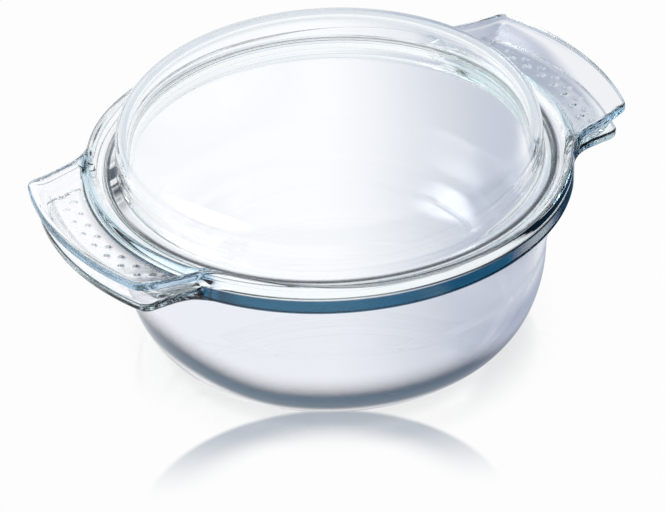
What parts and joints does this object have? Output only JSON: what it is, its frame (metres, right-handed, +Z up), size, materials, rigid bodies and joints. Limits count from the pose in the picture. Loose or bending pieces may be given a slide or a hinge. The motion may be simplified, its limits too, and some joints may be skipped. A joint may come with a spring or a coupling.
{
  "type": "covered casserole dish",
  "caption": "Round clear glass casserole: a deep dish with two flat carrying tabs and a domed lid with two upturned tabs that lifts off.",
  "frame": {"origin": "centre of the dish's flat underside, on the surface it stands on", "axes": "+Z up along the dish's axis, the carrying tabs along +X and -X"},
  "size_m": [0.262, 0.21, 0.1136],
  "materials": {
    "clear_glass": "polished"
  },
  "bodies": {
    "dish": {"dish": "clear_glass"},
    "lid": {"lid": "clear_glass"}
  },
  "joints": [
    {"name": "lid_lift", "type": "slide", "parent": "dish", "child": "lid", "axis": [0, 0, 1], "range_m": [0, 0.18]}
  ]
}
